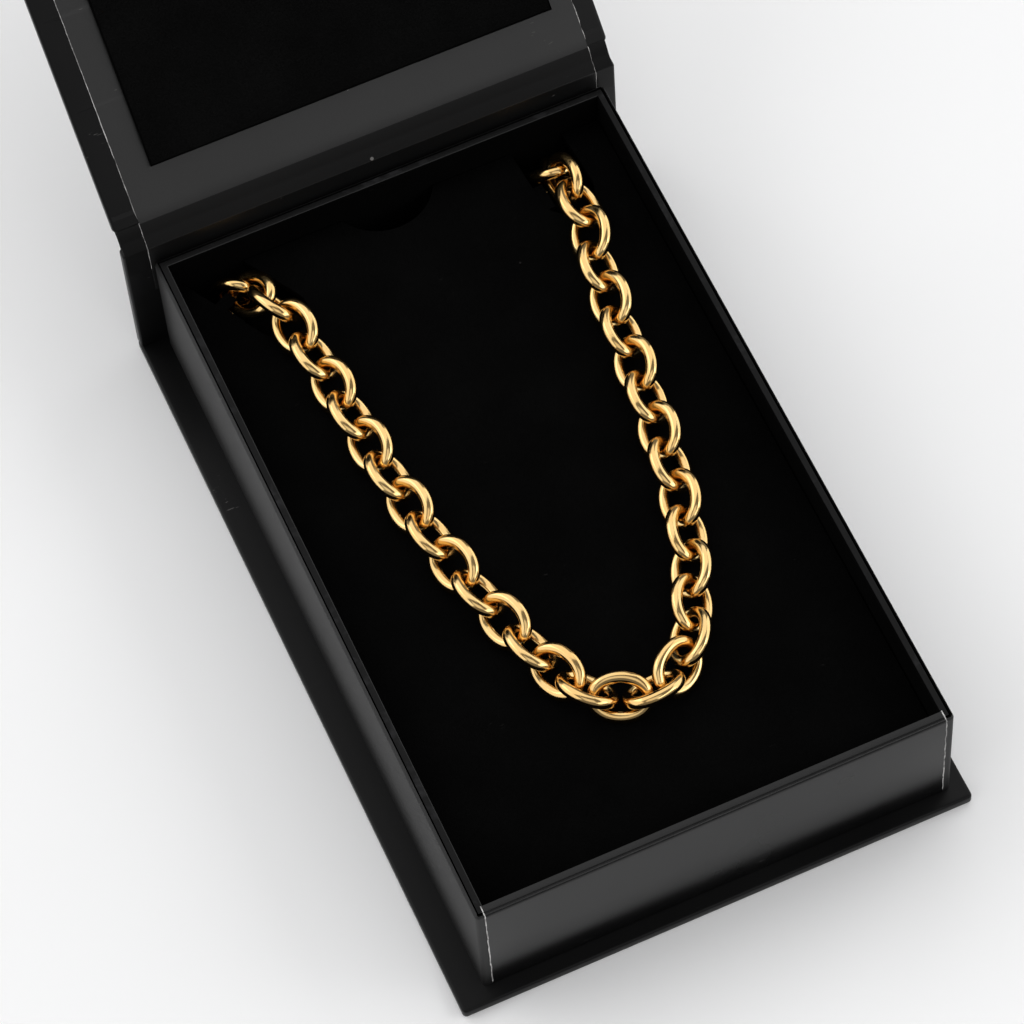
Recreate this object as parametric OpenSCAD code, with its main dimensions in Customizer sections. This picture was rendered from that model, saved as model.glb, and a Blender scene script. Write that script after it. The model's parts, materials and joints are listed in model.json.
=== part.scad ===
// A rolo chain necklace lying in a hinged gift box of rigid card.
// Lengths are in millimetres. The origin is the middle of the box's underside,
// with +X to the right, +Y to the hinge at the back and +Z up.

/* [Case boards] */
// Thickness of the base, spine and lid boards
board_t = 2.25; // [1.8:0.05:2.6]
// Width of the boards from side to side
board_w = 100; // [96:0.5:115]
// Length of the base board from front to back
base_l = 154.6; // [153:0.2:170]
// Rounding of the upright corners
corner_r = 0.8; // [0.4:0.1:1.5]

/* [Tray] */
// Width of the tray outside
tray_w = 91.7; // [90:0.1:95]
// Height of the tray above the base board
tray_h = 27.8; // [27:0.1:34]
// Thickness of the tray's walls
tray_wall = 2.2; // [1.6:0.1:2.6]
// Thickness of the tray's floor
tray_floor = 1.8; // [1.4:0.1:2.2]
// Distance of the tray's middle to the right of the base board's middle
tray_shift = 1.2; // [0:0.1:2]
// Bare strip of the base board in front of the tray
front_lip = 3.2; // [2:0.1:4]
// Gap between the tray and the spine board
spine_gap = 0.75; // [0.4:0.05:1]

/* [Lid] */
// Angle that the lid stands open, from closed
lid_open = 139; // [60:1:185]
// Gap between the tray's rim and the closed lid
lid_gap = 1.85; // [1.8:0.05:3]
// Width of the crease between the hinge axis and the lid board
crease_w = 3; // [2.8:0.1:4]
// Thickness of the hinge paper
paper_t = 0.4; // [0.2:0.05:0.6]
// Width of the glued part of the hinge paper on the lid board
glue_w = 4; // [2:0.5:10]
// Running clearance round the hinge axis
hinge_clear = 0.2; // [0.15:0.05:0.3]
// Width of the pad inside the lid
pad_w = 81; // [70:0.5:84]
// Thickness of the pad
pad_t = 1.2; // [0.8:0.1:1.5]
// Distance from the hinge axis to the pad
pad_back = 12.3; // [10:0.1:20]
// Bare strip of the lid in front of the pad
pad_front = 11.9; // [8:0.1:20]

/* [Insert] */
// Depth of the bed below the tray's rim
bed_drop = 7.1; // [7:0.1:8]
// Thickness of the insert's card
insert_t = 1.5; // [1:0.1:1.8]
// Gap between the insert and the tray's walls
insert_gap = 0.3; // [0.2:0.05:0.5]
// Radius of the finger notch
notch_r = 10.3; // [8:0.1:12]
// Distance of the notch's centre behind the insert's back edge
notch_out = 4.5; // [3:0.1:6]
// Clearance between a slot's edge and the chain
slot_clear = 0.5; // [0.3:0.1:0.8]

/* [Chain] */
// Length of a link outside
link_l = 12.2; // [11.8:0.1:12.4]
// Width of a link outside
link_w = 9.6; // [9.4:0.1:9.8]
// Diameter of the wire
wire_d = 2.3; // [2.1:0.05:2.35]
// Play between linked wires where the chain lies straight
link_play = 0.2; // [0.15:0.05:0.3]
// Angle of a lying link to the bed, to one side and then to the other
tilt = 40; // [38:1:42]
// Height of a lying link above what it rests on
lie_gap = 0.05; // [0.02:0.01:0.1]
// Distance from the insert's back edge to the line that the chain's route is measured from
layout_back = 71.8; // [71.6:0.1:74]
// Gap between the insert's right side and the middle of the chain on the tray's floor
under_right_gap = 6.55; // [6.3:0.05:8]
// The same gap on the left
under_left_gap = 9.15; // [6.3:0.05:10]

/* [Clasp] */
// Distance between the middles of the clasp's two rings
rings_l = 17.74; // [16:0.02:20]
// Radius of the clasp's rings at the middle of their wire
ring_r = 3; // [2.8:0.1:3.2]
// Diameter of the rings' wire
ring_wire = 1.6; // [1.4:0.1:1.8]
// Diameter of the clasp's body
clasp_d = 4.6; // [4:0.1:5]
// Play between a ring and the link that it holds
ring_play = 0.4; // [0.3:0.05:0.6]

/* [Hidden] */
$fn = 64;
eps = 0.5;

// Places of the case
base_front = -base_l / 2;
base_back = base_l / 2;
rim_z = board_t + tray_h;
hinge_z = rim_z + lid_gap + board_t;
spine_top = hinge_z - hinge_clear;
lid_l = base_l;

// Places of the tray
tray_front = base_front + front_lip;
tray_back = base_back - board_t - spine_gap;
tray_l = tray_back - tray_front;
well_w = tray_w - 2 * tray_wall;
well_front = tray_front + tray_wall;
well_back = tray_back - tray_wall;
floor_z = board_t + tray_floor;

// Places of the insert
bed_z = rim_z - bed_drop;
insert_w = well_w - 2 * insert_gap;
insert_front = well_front + insert_gap;
insert_back = well_back - insert_gap;
insert_l = insert_back - insert_front;
insert_right = tray_shift + insert_w / 2 - insert_t;
insert_left = tray_shift - insert_w / 2 + insert_t;
notch_y = insert_back + notch_out;
notch_drop = 9;

// Shape of a link through its wire's middle line: round ends and short straight sides
half_l = (link_l - wire_d) / 2;
half_w = (link_w - wire_d) / 2;
straight_l = link_l - link_w;

// Heights of the wire loops' middles where the chain lies
lie_h = half_w * sin(tilt) + wire_d / 2 + lie_gap;
chain_z = bed_z + lie_h;
under_z = floor_z + lie_h;
pitch = link_l - 2 * wire_d - link_play;

// How the links crowd together round the bottom of the U: by how much, and over
// what length of chain on the right and on the left
crowd = 0.95;
crowd_right = 30;
crowd_left = 20;
// By how much the links draw together on the tray's floor
under_crowd = 0.2;
// Length of chain before a dive over which the links already draw together
early_l = 30;

// The chain's route, seen from above and measured from the line layout_back. It starts at
// the bottom of the U.
layout_y = insert_back - layout_back;
bed_right = [[-3.8, -44.4], [2.8, -45.4], [8.8, -43], [13, -37.8], [16.2, -31.5],
             [21.2, -19], [24.4, -4.5], [27, 13], [29.2, 32], [31.4, 46]];
bed_left = [[-24.4, 38.5], [-22.8, 17], [-20, -4], [-16.2, -19.8], [-12.2, -33], [-8.8, -40]];
under_right_x = insert_right - under_right_gap;
under_left_x = insert_left + under_left_gap;
under_back = 36;
turn_right_r = 20;
turn_left_r = 18.5;

// Each strand's dive through its slot and back along the tray's floor, a row for
// the right one and a row for the left one. X, Y: where it starts, on the route. HEADING: the way
// it goes, from +X. RISE: height of the chain just before it. TOP, FOOT: heights of
// its start and end. BEND: its radius. RUN: how far it then goes straight. FROM, TO,
// RAMP: where the links stand flat and upright by turns, and how gently they come to
// that. SLACK, EARLY: how they draw together in and before it. REACH: how the flat
// links swing wide in it. TWIST: how the chain turns about its own line. SLOT: how far
// the slot reaches before the dive's start.
RIGHT = 0;
LEFT = 1;
X = 0;
Y = 1;
HEADING = 2;
RISE = 3;
TOP = 4;
FOOT = 5;
BEND = 6;
RUN = 7;
FROM = 8;
TO = 9;
RAMP = 10;
SLACK = 11;
REACH = 12;
EARLY = 13;
TWIST = 14;
SLOT = 15;
DIVES = [
    [32.8, 58.8, 94, 0.35, -0.45, 1.55, 8.6, 9.8, 4.9, 24.8, 40, 1.1, 1.15, 0, 3, 4.2],
    [-28.2, 61, 120, 0, -1.15, 0.5, 8.3, 4.8, -5.5, 24.8, 13.6, 0.8, 0.95, 0.07, 28, 8.8]];
// Length of the chain's lead into a dive, and the heading that it leaves
lead_l = 6.5;
strand_heading = 95;
// Height of the chain where a dive has run out on the tray's floor
run_rise = 0.2;

function reversed(list) = [for (k = [len(list) - 1 : -1 : 0]) list[k]];
function at_height(points, z) = [for (p = points) [p.x, p.y, z]];
function laid_out(points) = [for (p = points) [p.x, layout_y + p.y]];
function arc_points(x, y, r, from, to) = [for (a = [from : -30 : to]) [x + r * cos(a), y + r * sin(a)]];

// A dive's points: a lead, a quarter turn down, a quarter turn back and a short run
function dive_points(dive) =
    let (x = dive[X],
         y = layout_y + dive[Y],
         heading = dive[HEADING],
         lead_a = (heading + strand_heading) / 2,
         z0 = chain_z + dive[TOP],
         z1 = under_z + dive[FOOT],
         r = min(dive[BEND], (z0 - z1) / 2),
         foot_from = z0 - z1 > 2 * r + 1 ? 90 : 120)
    concat(
        [[x - lead_l * cos(lead_a), y - lead_l * sin(lead_a), chain_z + dive[RISE]]],
        [for (a = [0 : 30 : 90])
            [x + r * sin(a) * cos(heading), y + r * sin(a) * sin(heading), z0 - r * (1 - cos(a))]],
        [for (a = [foot_from : 30 : 180])
            [x + r * sin(a) * cos(heading), y + r * sin(a) * sin(heading), z1 + r * (1 + cos(a))]],
        [[x - dive[RUN] * cos(heading), y - dive[RUN] * sin(heading), under_z + run_rise]]);

right_dive = dive_points(DIVES[RIGHT]);
left_dive = dive_points(DIVES[LEFT]);
// The loop on the tray's floor, with its front at front_y, and the whole route with it
function under_points(front_y) = concat(
    [[under_right_x, layout_y + under_back]],
    arc_points(under_right_x - turn_right_r, front_y + turn_right_r, turn_right_r, 0, -90),
    arc_points(under_left_x + turn_left_r, front_y + turn_left_r, turn_left_r, -90, -180),
    [[under_left_x, layout_y + under_back]]);
function route(front_y) = concat(
    at_height(laid_out(bed_right), chain_z), right_dive, at_height(under_points(front_y), under_z),
    reversed(left_dive), at_height(laid_out(bed_left), chain_z));

// A route as one smooth closed curve, and the length along it at each of its points
steps = 12;
function smooth_point(a, b, c, d, t) =
    (2 * b + (c - a) * t + (2 * a - 5 * b + 4 * c - d) * pow(t, 2)
     + (3 * b - a - 3 * c + d) * pow(t, 3)) / 2;
function smooth(points) =
    let (n = len(points))
    [for (k = [0 : n - 1]) for (j = [0 : steps - 1])
        smooth_point(points[(k + n - 1) % n], points[k], points[(k + 1) % n], points[(k + 2) % n],
                     j / steps)];
function lengths_along(curve) =
    let (n = len(curve))
    [for (k = 0, s = 0; k <= n; k = k + 1, s = s + norm(curve[k % n] - curve[(k - 1) % n])) s];

// A first route, for the length of chain from the bottom of the U to the start of each dive
first_lengths = lengths_along(smooth(route(layout_y)));
first_l = first_lengths[len(first_lengths) - 1];
right_dive_s = first_lengths[(len(bed_right) + 1) * steps];
left_dive_s = first_l - first_lengths[len(first_lengths) - 1 - (len(bed_left) + 2) * steps];

function ease(v) = let (c = min(1, max(0, v))) c * c * (3 - 2 * c);
// How far the chain is in its dive's way of lying, 0 to 1, at d past the dive's start
function in_dive(dive, d) =
    ease((d - dive[FROM]) / dive[RAMP] + 0.5) * ease((dive[TO] - d) / dive[RAMP] + 0.5);
// Distance to the next link, where the middle between the two lies at s
function link_step(dive, dive_s, crowd_l, s) =
    let (d = s - dive_s)
    pitch - crowd * exp(-pow(s / crowd_l, 4)) - dive[SLACK] * in_dive(dive, d)
    - (d > dive[TO] ? under_crowd : 0)
    - (d > dive[FROM] - early_l && d < dive[FROM] ? dive[EARLY] : 0);
// Where the links from number 0 to number last lie along the chain
function link_stops(last, dive, dive_s, crowd_l) =
    [for (i = 0, s = 0; i <= last;
          i = i + 1, s = s + link_step(dive, dive_s, crowd_l, s + pitch / 2)) s];

links_right = 31;
links_left = 29;
right_s = link_stops(links_right, DIVES[RIGHT], right_dive_s, crowd_right);
left_s = link_stops(links_left, DIVES[LEFT], left_dive_s, crowd_left);
// Distance from a strand's last link to the middle of the ring that it holds
ring_step = half_l + ring_r - (wire_d + ring_wire) / 2 - ring_play;

// The route whose loop on the floor takes up the length that links and clasp need
needed_l = right_s[links_right] + left_s[links_left] + 2 * ring_step + rings_l;
under_front_y = layout_y + (first_l - needed_l) / 2;
curve = smooth(route(under_front_y));
curve_n = len(curve);
lengths = lengths_along(curve);
route_l = lengths[curve_n];
xs = [for (k = [0 : curve_n]) [lengths[k], curve[k % curve_n].x]];
ys = [for (k = [0 : curve_n]) [lengths[k], curve[k % curve_n].y]];
zs = [for (k = [0 : curve_n]) [lengths[k], curve[k % curve_n].z]];
function route_at(s) =
    let (on = s - route_l * floor(s / route_l))
    [lookup(on, xs), lookup(on, ys), lookup(on, zs)];

function unit(v) = v / norm(v);
// One link's place: its middle, the way along the chain, its upper side and its roll.
// side is 1 on the right and -1 on the left, where the route is followed backwards.
function link_place(side, i, s, up, dive, dive_s) =
    let (k = in_dive(dive, s - dive_s),
         even = i % 2 == 0,
         reach = pitch / 2 + (even ? 1 : -1) * dive[REACH] * k,
         a = route_at(side * s - reach),
         b = route_at(side * s + reach),
         along = unit(b - a),
         roll = (even ? tilt * (1 - k) : (180 - tilt) * (1 - k) + 90 * k) + dive[TWIST] * k)
    [(a + b) / 2, along, unit(up - (up * along) * along), roll];
// The links from number i on, outwards from the bottom of the U
function strand(side, i, stops, up, dive, dive_s) = i == len(stops) ? [] :
    let (place = link_place(side, i, stops[i], up, dive, dive_s))
    concat([place], strand(side, i + 1, stops, place[2], dive, dive_s));

right_strand = strand(1, 0, right_s, [0, 0, 1], DIVES[RIGHT], right_dive_s);
left_strand = strand(-1, 0, left_s, [0, 0, 1], DIVES[LEFT], left_dive_s);
// Every link once: the two strands share their first one
links = concat(right_strand, [for (i = [1 : links_left]) left_strand[i]]);

// The clasp's rings, each held by the last link of its strand
clasp_a = route_at(right_s[links_right] + ring_step);
clasp_b = route_at(route_l - left_s[links_left] - ring_step);
clasp_l = norm(clasp_b - clasp_a);
clasp_along = unit(clasp_b - clasp_a);
clasp_place = [(clasp_a + clasp_b) / 2, clasp_along, [0, 0, 1], tilt];
clasp_body_l = clasp_l - 2 * ring_r;

// Half width of the slots in the insert
slot_half_w = link_w / 2 + slot_clear;

// A flat plate with rounded upright corners, centred side to side, from y = 0 on
module plate(w, l, t, r) {
    linear_extrude(t) {
        translate([-w / 2 + r, 0]) square([w - 2 * r, l]);
        translate([-w / 2, r]) square([w, l - 2 * r]);
        for (x = [-w / 2 + r, w / 2 - r], y = [r, l - r])
            translate([x, y]) circle(r = r);
    }
}

// Puts what lies round the origin at a place of the chain
module at_place(place) {
    up = place[2];
    along = place[1];
    side = cross(up, along);
    across = cos(place[3]) * side + sin(place[3]) * up;
    normal = cross(along, across);
    middle = place[0];
    multmatrix([[along.x, across.x, normal.x, middle.x],
                [along.y, across.y, normal.y, middle.y],
                [along.z, across.z, normal.z, middle.z],
                [0, 0, 0, 1]])
        children();
}

// One soldered link of round wire, lying along X: two half rings and two straight sides
module link() {
    for (side = [0, 180])
        rotate([0, 0, side]) {
            translate([straight_l / 2, 0, 0])
                rotate_extrude(angle = 180, start = -90) translate([half_w, 0]) circle(d = wire_d);
            translate([-straight_l / 2, half_w, 0])
                rotate([0, 90, 0]) cylinder(d = wire_d, h = straight_l);
        }
}

module base_board() {
    color("#1c1c1e")
        translate([0, base_front, 0]) plate(board_w, base_l, board_t, corner_r);
}

module spine_board() {
    color("#202022")
        translate([0, base_back - board_t, board_t])
            plate(board_w, board_t, spine_top - board_t, corner_r);
}

module tray() {
    color("#1a1a1c")
        difference() {
            translate([tray_shift, tray_front, board_t]) plate(tray_w, tray_l, tray_h, corner_r);
            translate([tray_shift - well_w / 2, well_front, floor_z])
                cube([well_w, well_back - well_front, tray_h]);
        }
}

// A slot from just before a dive's start to past the insert's back edge
module slot(dive) {
    round_x = slot_half_w - dive[SLOT];
    translate([dive[X], layout_y + dive[Y], floor_z])
        rotate([0, 0, dive[HEADING]])
            linear_extrude(tray_h) {
                translate([round_x, 0]) circle(r = slot_half_w);
                translate([round_x, -slot_half_w]) square([insert_l / 4, 2 * slot_half_w]);
            }
}

// The bed with its folded sides on the left, the right and in front; open at the back
module insert() {
    skirt_h = bed_z - floor_z;
    color("#0c0c0d")
        translate([tray_shift, 0, 0])
        difference() {
            translate([-insert_w / 2, insert_front, floor_z]) cube([insert_w, insert_l, skirt_h]);
            translate([-insert_w / 2 + insert_t, insert_front + insert_t, floor_z - eps])
                cube([insert_w - 2 * insert_t, insert_l, skirt_h - insert_t + eps]);
            translate([0, notch_y, bed_z - notch_drop])
                cylinder(r = notch_r, h = notch_drop + eps);
            translate([-tray_shift, 0, 0]) slot(DIVES[RIGHT]);
            translate([-tray_shift, 0, 0]) slot(DIVES[LEFT]);
        }
}

module chain_on_bed() {
    color("#e0b050")
        for (place = links) if (place[0].z > bed_z) at_place(place) link();
}

module chain_under_bed() {
    color("#d8a848")
        for (place = links) if (place[0].z <= bed_z) at_place(place) link();
}

// A plain barrel with a ring at each end
module clasp() {
    color("#e4b658")
        at_place(clasp_place) {
            rotate([0, 90, 0]) cylinder(d = clasp_d, h = clasp_body_l, center = true);
            for (side = [-1, 1])
                translate([side * clasp_l / 2, 0, 0])
                    rotate_extrude() translate([ring_r, 0]) circle(d = ring_wire);
        }
}

// Puts what is drawn for a closed lid, with the hinge axis at the origin, in its place
module on_lid() {
    translate([0, base_back, hinge_z]) rotate([-lid_open, 0, 0]) children();
}

module lid_board() {
    color("#1e1e20")
        on_lid() translate([0, -lid_l, -board_t])
            plate(board_w, lid_l - crease_w, board_t, corner_r);
}

module lid_pad() {
    color("#0e0e0f")
        on_lid() translate([tray_shift, -lid_l + pad_front, -board_t - pad_t])
            plate(pad_w, lid_l - pad_front - pad_back, pad_t, corner_r);
}

module hinge_paper() {
    color("#242426")
        on_lid() translate([-board_w / 2, -crease_w - glue_w, 0])
            cube([board_w, crease_w + glue_w - hinge_clear - 0.1, paper_t]);
}

base_board();
spine_board();
tray();
insert();
chain_on_bed();
chain_under_bed();
clasp();
lid_board();
lid_pad();
hinge_paper();
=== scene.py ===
"""Dresses the packed model of a rolo chain necklace that lies in a hinged gift box."""

import contextlib
import json
import math
import random

import bmesh
import bpy
import numpy as np
from bpy.props import FloatProperty, FloatVectorProperty, IntProperty, PointerProperty
from mathutils import Matrix, Vector


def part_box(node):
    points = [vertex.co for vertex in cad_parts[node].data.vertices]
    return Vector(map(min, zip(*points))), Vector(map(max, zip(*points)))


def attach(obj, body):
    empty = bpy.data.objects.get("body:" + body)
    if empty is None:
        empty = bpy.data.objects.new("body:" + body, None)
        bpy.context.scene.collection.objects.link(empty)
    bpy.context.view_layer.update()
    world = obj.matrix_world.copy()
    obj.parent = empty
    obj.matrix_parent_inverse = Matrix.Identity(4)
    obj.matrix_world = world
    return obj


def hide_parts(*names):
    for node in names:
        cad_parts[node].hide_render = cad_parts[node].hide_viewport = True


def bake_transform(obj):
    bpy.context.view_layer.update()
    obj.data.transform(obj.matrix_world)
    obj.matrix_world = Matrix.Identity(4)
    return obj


bl_info = {
    "name": "Rolo chain in a gift box",
    "version": (1, 0, 0),
    "blender": (4, 5, 0),
    "location": "3D View > Sidebar > Gift box",
    "description": "Builds the papers, flock, pad and gold links of a boxed rolo chain",
    "category": "Object",
}

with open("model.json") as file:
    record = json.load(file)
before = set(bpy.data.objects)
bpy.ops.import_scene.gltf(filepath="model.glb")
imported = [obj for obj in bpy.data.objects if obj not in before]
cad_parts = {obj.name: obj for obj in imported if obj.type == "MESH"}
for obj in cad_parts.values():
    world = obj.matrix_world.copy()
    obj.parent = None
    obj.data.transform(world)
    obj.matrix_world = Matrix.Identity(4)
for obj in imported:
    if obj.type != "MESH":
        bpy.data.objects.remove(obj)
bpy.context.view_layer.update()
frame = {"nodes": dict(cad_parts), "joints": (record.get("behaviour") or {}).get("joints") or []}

MM = 0.001
X, Y, Z = Vector((1, 0, 0)), Vector((0, 1, 0)), Vector((0, 0, 1))

# Points that are closer than this are one point
WELD = 0.001 * MM

# Edges that turn by more than SHARP are rounded, and faces that meet at less than one of the
# other two angles are shaded as one surface
SHARP, SMOOTH, ROUND = math.radians(50), math.radians(35), math.radians(60)

# The lid's place: what is drawn for a closed lid, with the hinge axis at the origin,
# is turned open by the joint's range and moved to the axis.
HINGE = next(joint for joint in frame["joints"] if joint["name"] == "lid_hinge")
OPENED = Matrix.Rotation(-math.radians(HINGE["range_deg"][1]), 4, "X")
OPEN_LID = Matrix.Translation(Vector(HINGE["pos_m"])) @ OPENED

# Places of the materials on a piece, after its plain paper: on a wrapped board, and on a sheet
FOLD, LINING = 1, 2
RIM, GUTTER = 1, 2

# The side to which a sheet gets its thickness
OUTWARDS, INWARDS = 1, -1

# Number of strips in the liner's bend over the crease, in its flat part on the lid, and in the
# hinge paper's bend
BEND_STEPS, LINER_STEPS, HINGE_STEPS = 8, 6, 6

# A cut edge of paper: the length of its steps, the least share of its width, and the start of
# its random wander
CUT_STEP, CUT_THINNEST, CUT_SEED = 1.2 * MM, 0.65, 7

# Depths of the relief in the surfaces
TOOTH_DEPTH, FOLD_TOOTH_DEPTH, WAVE_DEPTH = 0.012 * MM, 0.02 * MM, 0.10 * MM
NAP_DEPTH, GOLD_WAVE_DEPTH, GOLD_SCRATCH_DEPTH = 0.12 * MM, 0.018 * MM, 0.001 * MM


def on_lid(y, z):
    """The open place of a point (y, z) that is drawn on the closed lid"""
    return OPEN_LID @ Vector((0, y, z))


def lid_box(node):
    """Lowest and highest corner of a CAD node of the lid, closed, with the hinge axis at the origin"""
    back = OPEN_LID.inverted()
    corners = [back @ corner.co for corner in frame["nodes"][node].data.vertices]
    low = Vector(min(c[k] for c in corners) for k in range(3))
    high = Vector(max(c[k] for c in corners) for k in range(3))
    return low, high


def millimetres(name, description, default):
    """A length as a property, its default given in millimetres"""
    return FloatProperty(name=name, description=description, default=default * MM, unit="LENGTH")


def paint(name, description, default):
    """A colour as a property"""
    return FloatVectorProperty(
        name=name, description=description, default=default, size=3, subtype="COLOR")


class CaseSizes(bpy.types.PropertyGroup):
    """Sizes of the wrapped boards, the tray and the papers"""

    corner_r: millimetres("Corner rounding", "Rounding of the boards' upright corners", 0.8)
    edge_r: millimetres("Edge rounding", "Rounding of the boards' long edges", 0.45)
    rim_r: millimetres("Rim rounding", "Rounding of the tray's rim on its outer side", 0.75)
    rim_inner_r: millimetres("Inner rim rounding", "Rounding of the tray's rim towards the well", 0.3)
    insert_play: millimetres("Insert play", "Gap between the tray's walls and the insert", 0.3)
    seam_in: millimetres(
        "Seam distance", "From the tray's corners to the cut edges of its front paper", 1.7)
    front_up: millimetres("Front paper's foot", "From the base board to the front paper", 0.2)
    cut_up: millimetres(
        "Cut edges' foot", "From the base board to the front paper's pale cut edges", 1.2)
    paper_t: millimetres("Paper", "Thickness of the wrapping paper", 0.16)
    cut_w: millimetres("Cut edge", "Width of the pale cut edges of the paper", 0.27)
    cut_wander: millimetres("Cut wander", "How far a cut edge wanders from its line", 0.07)
    liner_left: millimetres(
        "Liner to the left", "From the tray's middle to the liner's left edge", 46.2)
    liner_right: millimetres(
        "Liner to the right", "From the tray's middle to the liner's right edge", 44.8)
    liner_front: millimetres("Liner margin", "From the lid board's front edge to the liner", 4.5)
    liner_down: millimetres("Liner on the spine", "How far the liner goes down the spine board", 14)
    liner_lift: millimetres("Liner lift", "Gap between the liner and the boards", 0.02)
    crease_soft: millimetres(
        "Soft bend", "Length of liner that bends softly to each side of the lid's edge", 3)
    hinge_down: millimetres(
        "Hinge paper on the spine", "How far the hinge paper goes down the spine's back", 8)
    hinge_lift: millimetres("Hinge paper lift", "Gap between the hinge paper and the boards", 0.03)
    hinge_sag: millimetres(
        "Hinge paper sag", "How far the hinge paper stands out between spine and lid", 0.25)
    flap_w: millimetres("Flap width", "Width of the card flaps pressed down under the chain", 10.2)
    flap_drop: millimetres("Flap drop", "How far the flaps reach down below the bed", 5.95)
    flap_run: millimetres("Flap run", "Length of the flaps' level end", 3)
    card_t: millimetres("Card", "Thickness of the insert's card", 1.5)
    flap_t: millimetres("Flap", "Thickness of the flaps' card", 0.3)
    flap_lap: millimetres("Flap lap", "How far the flaps reach under the insert", 0.8)
    pad_edge_r: millimetres("Pad edge", "Rounding of the pad's upper edges", 0.5)
    pad_nap: millimetres("Pad unevenness", "Unevenness of the pad's cut edges", 0.16)
    nap_size: millimetres("Nap size", "Size of the pad's uneven places", 4)
    flock_edge_r: millimetres("Insert edge", "Rounding of the insert's edges", 0.3)


class ChainSizes(bpy.types.PropertyGroup):
    """Shape of the links and the clasp, beyond what the CAD nodes give"""

    fullness_along: FloatProperty(
        name="Fullness of the sides", description="Handle length of the oval's sides, as a share",
        default=0.60)
    fullness_across: FloatProperty(
        name="Fullness of the ends", description="Handle length of the oval's ends, as a share",
        default=0.56)
    wire_sides: IntProperty(name="Wire sides", description="Faces round the wire", default=24)
    quarter_steps: IntProperty(
        name="Steps", description="Faces along a quarter of the link", default=18)
    ring_wire: millimetres("Ring wire", "Diameter of the clasp rings' wire", 1.6)
    cap_r: millimetres("Clasp rounding", "Rounding of the clasp's ends", 0.7)


class Finishes(bpy.types.PropertyGroup):
    """Colours of the surfaces"""

    board_paper: paint("Case paper", "Colour of the paper on the case boards", (0.0045, 0.0045, 0.0046))
    tray_paper: paint("Tray paper", "Colour of the paper on the tray", (0.0025, 0.0025, 0.0026))
    liner_paper: paint("Liner paper", "Colour of the liner inside the lid", (0.0035, 0.0035, 0.0036))
    fold: paint(
        "Rubbed fold", "Colour of the paper where it is rubbed along folds", (0.016, 0.016, 0.017))
    core: paint("Paper core", "Colour of the paper's cut edges", (0.66, 0.65, 0.64))
    dust: paint("Dust", "Colour of dust and lint", (0.16, 0.155, 0.15))
    flock: paint("Flock", "Colour of the flock on the insert", (0.0016, 0.0016, 0.0016))
    pad: paint("Pad", "Colour of the pad in the lid", (0.0024, 0.0024, 0.0024))
    gold: paint("Gold", "Colour of the plated links", (0.75, 0.52, 0.225))
    floor: paint("Floor", "Colour of the pale floor", (0.925, 0.925, 0.93))


class Studio(bpy.types.PropertyGroup):
    """Camera and lights"""

    azimuth: FloatProperty(
        name="Camera turn", description="Turn of the camera round the box",
        default=math.radians(-19.5468), subtype="ANGLE")
    elevation: FloatProperty(
        name="Camera elevation", description="Elevation of the camera",
        default=math.radians(60.2558), subtype="ANGLE")
    roll: FloatProperty(
        name="Camera roll", description="Roll of the camera to its right",
        default=math.radians(5.1616), subtype="ANGLE")
    distance: millimetres(
        "Camera distance", "From the camera to the point that it is aimed at", 900.473)
    aim: FloatVectorProperty(
        name="Aim", description="The point that the camera is aimed at",
        default=(-6.2319 * MM, -3.1456 * MM, 30.05 * MM), size=3, subtype="XYZ")
    lens: FloatProperty(
        name="Lens", description="Focal length in millimetres, on a sensor 36 mm wide", default=176.247)
    floor_w: FloatProperty(
        name="Floor", description="Width of the floor", default=7.0, unit="LENGTH")
    world: FloatProperty(
        name="Room light", description="Strength of the pale room light", default=0.22)
    radiance: FloatProperty(
        name="Softboxes", description="Brightness of the softboxes' faces", default=1.15)


# Making meshes by hand: a block or a ribbon, shaped in edit mode


def deselect_all():
    bpy.ops.object.select_all(action="DESELECT")


def make_active(piece):
    deselect_all()
    piece.select_set(True)
    bpy.context.view_layer.objects.active = piece


def named(name):
    """The object just added, under its own name"""
    piece = bpy.context.object
    piece.name = name
    piece.data.name = name
    return piece


def block(name, low, high):
    """A block between two corners"""
    deselect_all()
    bpy.ops.mesh.primitive_cube_add(size=1, location=(low + high) / 2)
    piece = named(name)
    piece.scale = high - low
    bpy.ops.object.transform_apply()
    return piece


@contextlib.contextmanager
def edit(piece):
    """Edit mode on one piece, with nothing selected to start with"""
    make_active(piece)
    bpy.ops.object.mode_set(mode="EDIT")
    bpy.ops.mesh.select_all(action="DESELECT")
    yield
    bpy.ops.object.mode_set(mode="OBJECT")


def select(piece, kind, test):
    """Selects only the faces (FACE) or edges (EDGE) that pass a test"""
    bpy.ops.mesh.select_mode(type=kind)
    bpy.ops.mesh.select_all(action="DESELECT")
    mesh = bmesh.from_edit_mesh(piece.data)
    mesh.normal_update()
    for part in mesh.faces if kind == "FACE" else mesh.edges:
        if test(part):
            part.select_set(True)
    mesh.select_flush_mode()
    bmesh.update_edit_mesh(piece.data)


def round_edges(piece, radius, segments, test, index=-1):
    """Rounds the edges that pass a test, and may give the new faces the material of a place"""
    select(piece, "EDGE", test)
    bpy.ops.mesh.bevel(offset=radius, segments=segments, affect="EDGES", material=index)


def paint_faces(piece, index, test):
    """Gives a material, by its place on the piece, to the faces whose middle passes a test"""
    mesh = bmesh.from_edit_mesh(piece.data)
    for face in mesh.faces:
        if test(face.calc_center_median()):
            face.material_index = index
    bmesh.update_edit_mesh(piece.data)


def middle(edge):
    return (edge.verts[0].co + edge.verts[1].co) / 2


def runs_along(edge, way):
    line = edge.verts[1].co - edge.verts[0].co
    return abs(line.dot(way)) > 0.99 * line.length


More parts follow.
